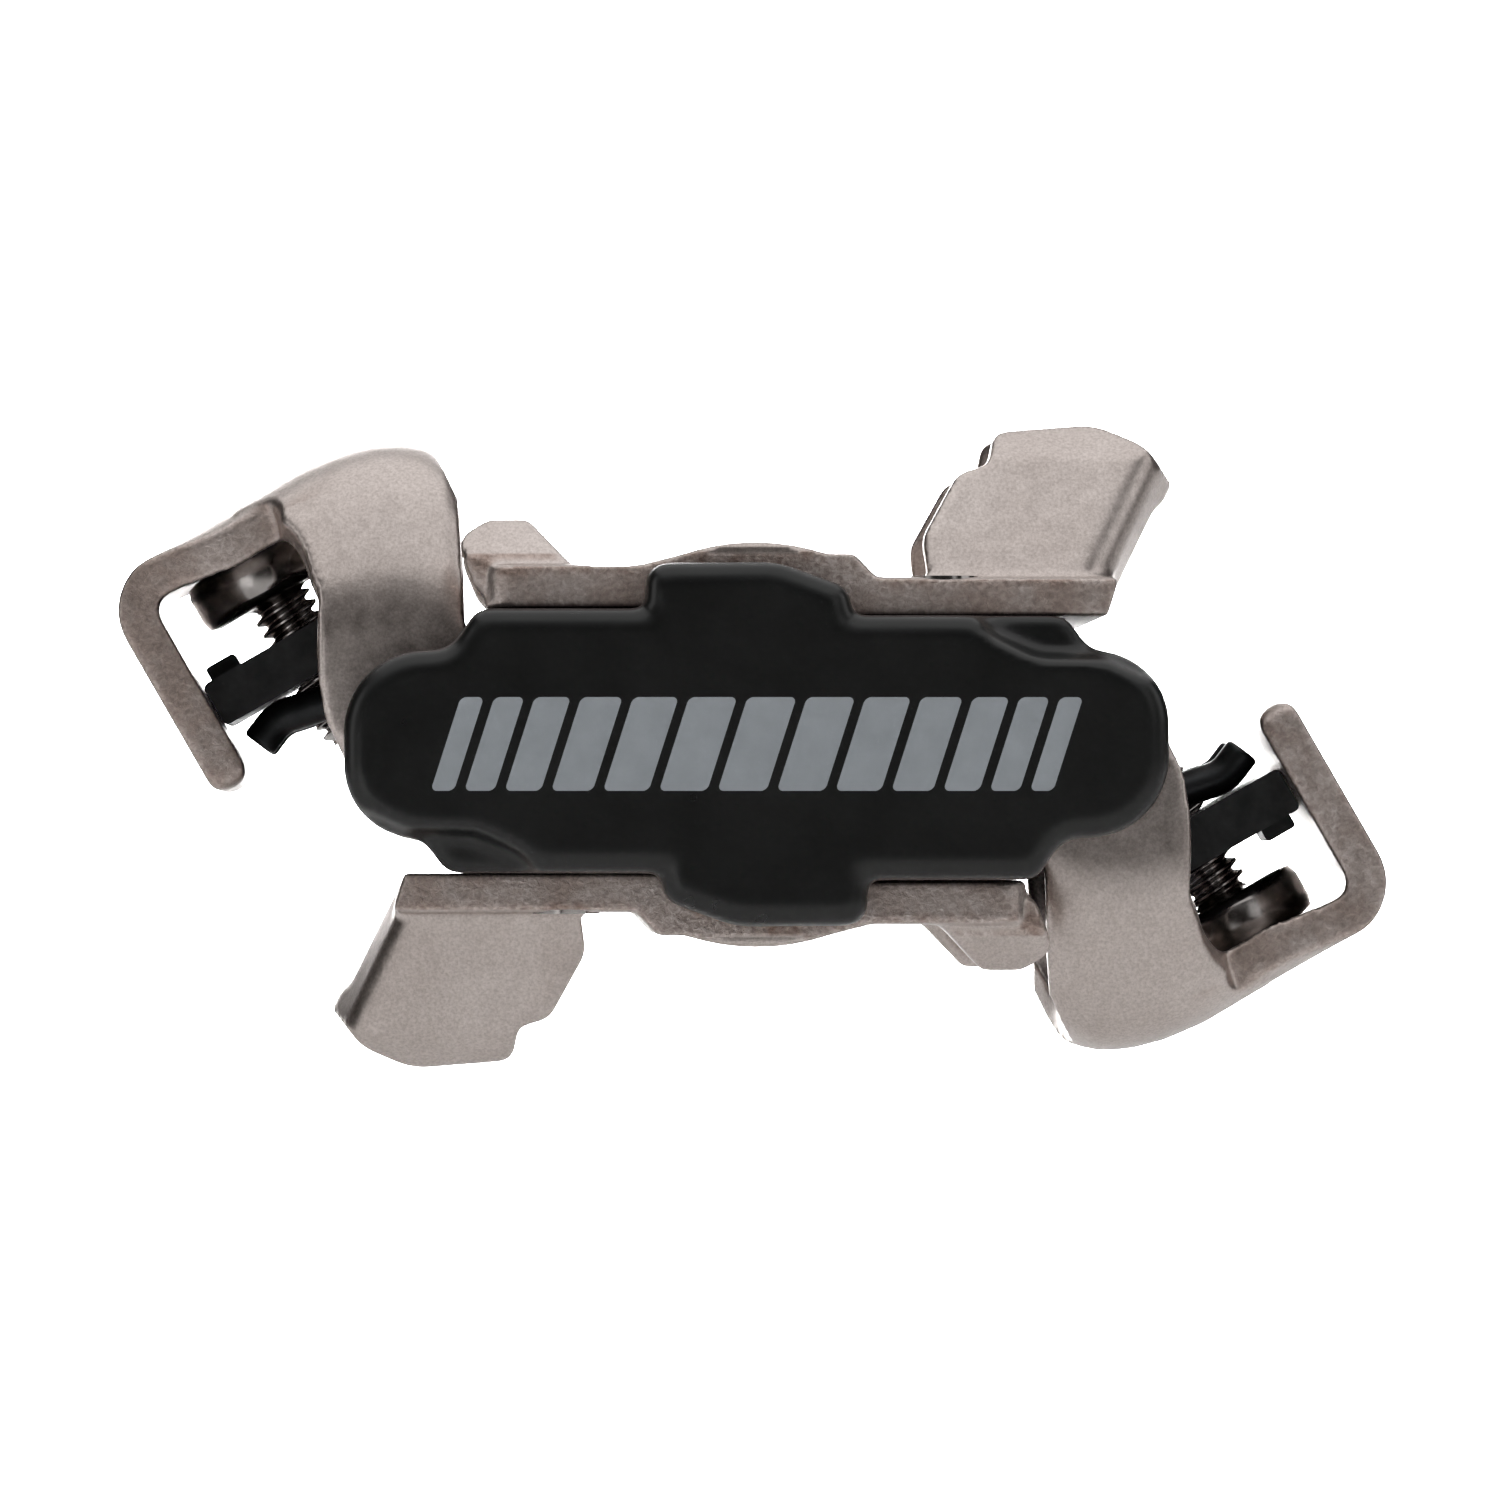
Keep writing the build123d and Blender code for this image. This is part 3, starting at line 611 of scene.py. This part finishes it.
def makeTensionBolt(side, d):
    x, z = tilted(d["s"], d["headTop"])
    start = np.array([x, centreY, z])
    high, big, deep, socket = d["headUnder"] - d["headTop"], d["headRadius"], d["socketDeep"], d["socket"]
    head = easedCorners([(deep, onAxis), (deep, socket), (0.0, socket), (0.0, big), (high, big),
                         (high, d["root"] + 0.4), (high + 0.6, d["root"]), (high + 0.7, onAxis)], d["edge"])
    turn = np.linspace(0, fullTurn, d["headSides"], endpoint=False)
    sixSides = math.cos(math.pi / 6) / np.cos((turn + math.pi / 6) % (math.pi / 3) - math.pi / 6)
    inSocket = (head[:, 1] < socket + 0.35) & (head[:, 0] < deep + 0.1)
    radius = head[:, 1][:, None] * np.where(inSocket[:, None], sixSides[None, :] * d["socketFit"], 1.0)
    top = closedTube("head", ringsAround(start, boltAxis, head[:, 0], radius))
    length = d["tip"] - d["headUnder"] - d["overlap"]
    along = np.linspace(0, length, int(length / d["pitch"] * d["perTurn"]))
    thread = threadRadius(along, d["shaftSides"], length, d["pitch"], d["root"], d["crest"])
    neck = start + boltAxis * (high + d["overlap"])
    shaft = closedTube("shaft", ringsAround(neck, boltAxis, along, thread))
    piece = joined(f"{side}TensionBolt", [top, shaft])
    if side == "bottom":
        turnOver(piece)
    finishPiece(piece, oxide, "screw_black", f"{side}_tension_bolt", f"{side}_tension_bolt")


for side in ("top", "bottom"):
    makeTensionBolt(side, bolt)
print("tension bolts made")

spring = {
    "pivot": (-24.5, 0.7), "coil": 4.9, "wire": 1.35, "chamfer": 0.22, "sides": 28,
    "outer": 14.5, "inner": 6.0, "turns": 3, "start": math.radians(106), "bodyLeg": 11.0,
    # where the leg on the nut bends and ends, in the bolt's own directions
    "bend": (-29.8, -19.72), "tip": (-32.1, -18.75),
    "coilSteps": 260, "legSteps": 24, "footSteps": 14, "movingSteps": 60, "easing": 4, "fixedSteps": 30,
    "blendFrom": 1.5, "blendTo": 1.0,
}


def wireAlong(name, path, d):
    # round wire: rings square to the path, one ring direction always in the plane across Y; ends chamfered
    path = np.asarray(path, float)
    tangent = np.gradient(path, axis=0)
    tangent /= np.linalg.norm(tangent, axis=1)[:, None]
    first = np.cross(tangent, (0.0, 1.0, 0.0))
    first /= np.linalg.norm(first, axis=1)[:, None]
    second = np.cross(tangent, first)
    turn = np.linspace(0, fullTurn, d["sides"], endpoint=False)
    run = np.concatenate([[0], np.cumsum(np.linalg.norm(np.diff(path, axis=0), axis=1))])
    away = np.minimum(run, run[-1] - run)
    size = d["wire"] - d["chamfer"] * (1 - np.clip(away / d["chamfer"], 0, 1))
    ring = np.cos(turn)[None, :, None] * first[:, None] + np.sin(turn)[None, :, None] * second[:, None]
    return closedTube(name, path[:, None] + size[:, None, None] * ring)


def makeSpring(side, place, direction, d):
    # coil: pivot + coil radius (cos a, sin a), moving inwards evenly with a; legs leave along its end
    # tangents, and the one on the nut bends once more to the nut's underside
    bend, tip = np.array(tilted(*d["bend"])), np.array(tilted(*d["tip"]))
    pivot = np.array(d["pivot"])
    reach = bend - pivot
    distance = np.hypot(*reach)
    last = math.atan2(reach[1], reach[0]) - math.pi / 2 + math.asin(d["coil"] / distance)
    sweep = fullTurn * d["turns"] + last - d["start"]
    angle = d["start"] + np.linspace(0, sweep, d["coilSteps"])
    outer, inner = (centreY + direction * d[key] for key in ("outer", "inner"))
    y = outer + (inner - outer) * (angle - d["start"]) / sweep
    circle = np.stack([np.cos(angle), np.sin(angle)], -1) * d["coil"]
    coil = np.stack([pivot[0] + circle[:, 0], y, pivot[1] + circle[:, 1]], -1)
    slope = np.stack([-circle[:, 1], np.full(len(angle), (inner - outer) / sweep), circle[:, 0]], -1)
    slope /= np.linalg.norm(slope, axis=1)[:, None]
    corner = coil[-1] + slope[-1] * math.sqrt(distance ** 2 - d["coil"] ** 2)
    end = corner + np.array([tip[0] - bend[0], 0, tip[1] - bend[1]])
    backward = coil[0] - slope[0] * np.linspace(d["bodyLeg"], 0, d["fixedSteps"])[:-1, None]
    leg = np.linspace(coil[-1], corner, d["legSteps"])[1:]
    foot = np.linspace(corner, end, d["footSteps"])[1:]
    rounded = smoothLine(np.concatenate([leg, foot]), d["movingSteps"], d["easing"])
    moving = wireAlong(f"{side}{place}Spring", np.concatenate([coil, rounded]), d)
    fixed = wireAlong(f"{side}{place}SpringLeg", np.concatenate([backward, coil[:d["fixedSteps"]]]), d)
    for piece in (moving, fixed):
        if side == "bottom":
            turnOver(piece)
        piece.data.materials.append(springSteel)
    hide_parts(f"{side}_{place.lower()}_spring")
    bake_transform(moving)
    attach(fixed, "pedal")


for side in ("top", "bottom"):
    makeSpring(side, "Outboard", -1, spring)
    makeSpring(side, "Inboard", 1, spring)
print("springs made")

axle = {
    # (y, radius) from the crank end to the outboard end
    "profile": [(13.0, onAxis), (13.55, 1.0), (14.0, 1.25), (14.0, 6.2), (13.1, 6.4), (0.9, 6.4), (0.0, 7.0),
                (0.0, 8.8), (-7.5, 8.8), (-7.5, 7.4), (-13.2, 7.4), (-13.6, 6.4), (-22.0, 6.4), (-22.6, 5.6),
                (-23.55, 5.6), (-24.1, 5.36), (-25.0, 5.07), (-25.9, 5.36), (-26.45, 5.6), (-28.0, 5.6),
                (-30.0, 4.6), (-61.0, 4.1), (-61.0, 3.0), (-74.2, 3.0), (-74.9, 2.3), (-74.9, onAxis)],
    "edge": 0.18, "between": 6, "sides": 144,
    "flat": 7.5, "flatFrom": 1.3, "flatRunOut": 0.5, "flatTo": -7.55,
    "crest": 7.14, "root": 6.38, "pitch": 1.27, "threadLength": 13.9, "threadStart": 0.05, "threadSides": 120,
    "threadSteps": 260,
}


def makeSpindle(d):
    # turned shaft whose collar radius is the lesser of its own and flat / |cos a|; the crank thread is a
    # second closed shell round the same core
    profile = easedCorners(d["profile"], d["edge"])
    spans = [np.linspace(a, b, d["between"])[:-1] for a, b in zip(profile[:-1], profile[1:])]
    along, radius = np.concatenate(spans + [profile[-1:]]).T
    turn = np.linspace(0, fullTurn, d["sides"], endpoint=False)
    flat = d["flat"] / np.maximum(np.abs(np.cos(turn)), 1e-3)
    onFlat = rise(-along, d["flatFrom"], d["flatFrom"] + d["flatRunOut"])
    onFlat = onFlat * (along > d["flatTo"]) * (radius > d["flat"])
    limited = np.minimum(radius[:, None], flat[None, :])
    rings = radius[:, None] + (limited - radius[:, None]) * onFlat[:, None]
    core = closedTube("core", ringsAround((0, 0, 0), (0, 1, 0), along, rings))
    length = d["threadLength"]
    steps = np.linspace(0, length, d["threadSteps"])
    teeth = threadRadius(steps, d["threadSides"], length, d["pitch"], d["root"], d["crest"])
    thread = closedTube("thread", ringsAround((0, d["threadStart"], 0), (0, 1, 0), steps, teeth))
    piece = joined("spindleShaft", [core, thread])
    weighted = piece.modifiers.new("normals", "WEIGHTED_NORMAL")
    weighted.keep_sharp = False
    finishPiece(piece, ground, "spindle_steel", "spindle", "spindle")


makeSpindle(axle)
print("spindle made")

stage = {"floor": -130.0, "near": -2600.0, "bend": 1500.0, "radius": 900.0, "top": 2600.0, "half": 3200.0,
         "steps": 24, "paleness": [(0.3, (0.92, 0.92, 0.92)), (0.7, (0.94, 0.94, 0.94))]}


def makeStage(d):
    # floor that curves up into a back wall: a straight run, a quarter circle, and a straight rise
    turn = np.linspace(0, math.pi / 2, d["steps"])
    ys = np.concatenate([[d["near"]], d["bend"] + d["radius"] * np.sin(turn), [d["bend"] + d["radius"]]])
    zs = np.concatenate([[d["floor"]], d["floor"] + d["radius"] * (1 - np.cos(turn)), [d["top"]]])
    x, y = np.meshgrid([-d["half"], d["half"]], ys)
    z = np.broadcast_to(zs[:, None], x.shape)
    places = np.stack([x, y, z], -1).reshape(-1, 3)
    floor = newMesh("floorSweep", places, gridFaces(len(ys), 2)[:, ::-1])
    paint = Paint("paleFloor", Roughness=0.9)
    paint.colour(paint.ramp(paint.noise(3, 2), d["paleness"]))
    floor.data.materials.append(paint.material)


def softLight(name, place, target, width, height, power, spread):
    data = bpy.data.lights.new(name, "AREA")
    data.shape = "RECTANGLE"
    data.size, data.size_y, data.energy = width, height, power
    data.spread = math.radians(spread)
    lamp = bpy.data.objects.new(name, data)
    bpy.context.scene.collection.objects.link(lamp)
    lamp.location = place
    lamp.rotation_mode = "QUATERNION"
    lamp.rotation_quaternion = (Vector(target) - Vector(place)).to_track_quat("-Z", "Y")


makeStage(stage)
middle = (0, -0.053, 0)
# place, what it faces, width, height, power and spread in degrees
lamps = {
    "topSoft": ((0.0, -0.33, 0.95), (0.0, -0.33, 0), 1.7, 2.04, 11.4, 180),
    "leftSoft": ((-1.1, -0.6, 0.2), middle, 0.6, 1.0, 1.8, 180),
    "rightSoft": ((1.1, -0.35, 0.5), middle, 0.7, 0.9, 2.0, 180),
    "frontSoft": ((0.0, -2.0, 0.9), middle, 1.4, 0.5, 0.35, 180),
    "leftCard": ((-0.23, -0.45, -0.09), middle, 0.16, 0.2, 0.08, 180),
    "rightCard": ((0.24, -0.45, 0.13), middle, 0.14, 0.18, 0.06, 180),
    "wallSoft": ((0, 1.0, 1.0), (0, 2.35, 0.0), 0.9, 0.6, 60, 75),
    "backSoft": ((0, 1.2, 0.9), middle, 1.4, 0.8, 2.0, 180),
}
for name, settings in lamps.items():
    softLight(name, *settings)
glow = {"colour": (1.0, 0.88, 0.82, 1), "strength": 0.035}
world = bpy.data.worlds.new("studio")
bpy.context.scene.world = world
world.use_nodes = True
world.node_tree.nodes["Background"].inputs["Color"].default_value = glow["colour"]
world.node_tree.nodes["Background"].inputs["Strength"].default_value = glow["strength"]

eye = {"place": (-0.0177, -1.107, -0.0101), "aim": (0, -0.053, -0.00015), "lens": 334, "sensor": 36,
       "near": 0.05, "far": 20}
cameraData = bpy.data.cameras.new("camera")
cameraData.sensor_width, cameraData.lens = eye["sensor"], eye["lens"]
cameraData.clip_start, cameraData.clip_end = eye["near"], eye["far"]
camera = bpy.data.objects.new("camera", cameraData)
bpy.context.scene.collection.objects.link(camera)
camera.location = eye["place"]
camera.rotation_mode = "QUATERNION"
camera.rotation_quaternion = (Vector(eye["aim"]) - camera.location).to_track_quat("-Z", "Y")
bpy.context.scene.camera = camera
bpy.context.scene.view_settings.view_transform = "Standard"
print("stage, light and camera ready")
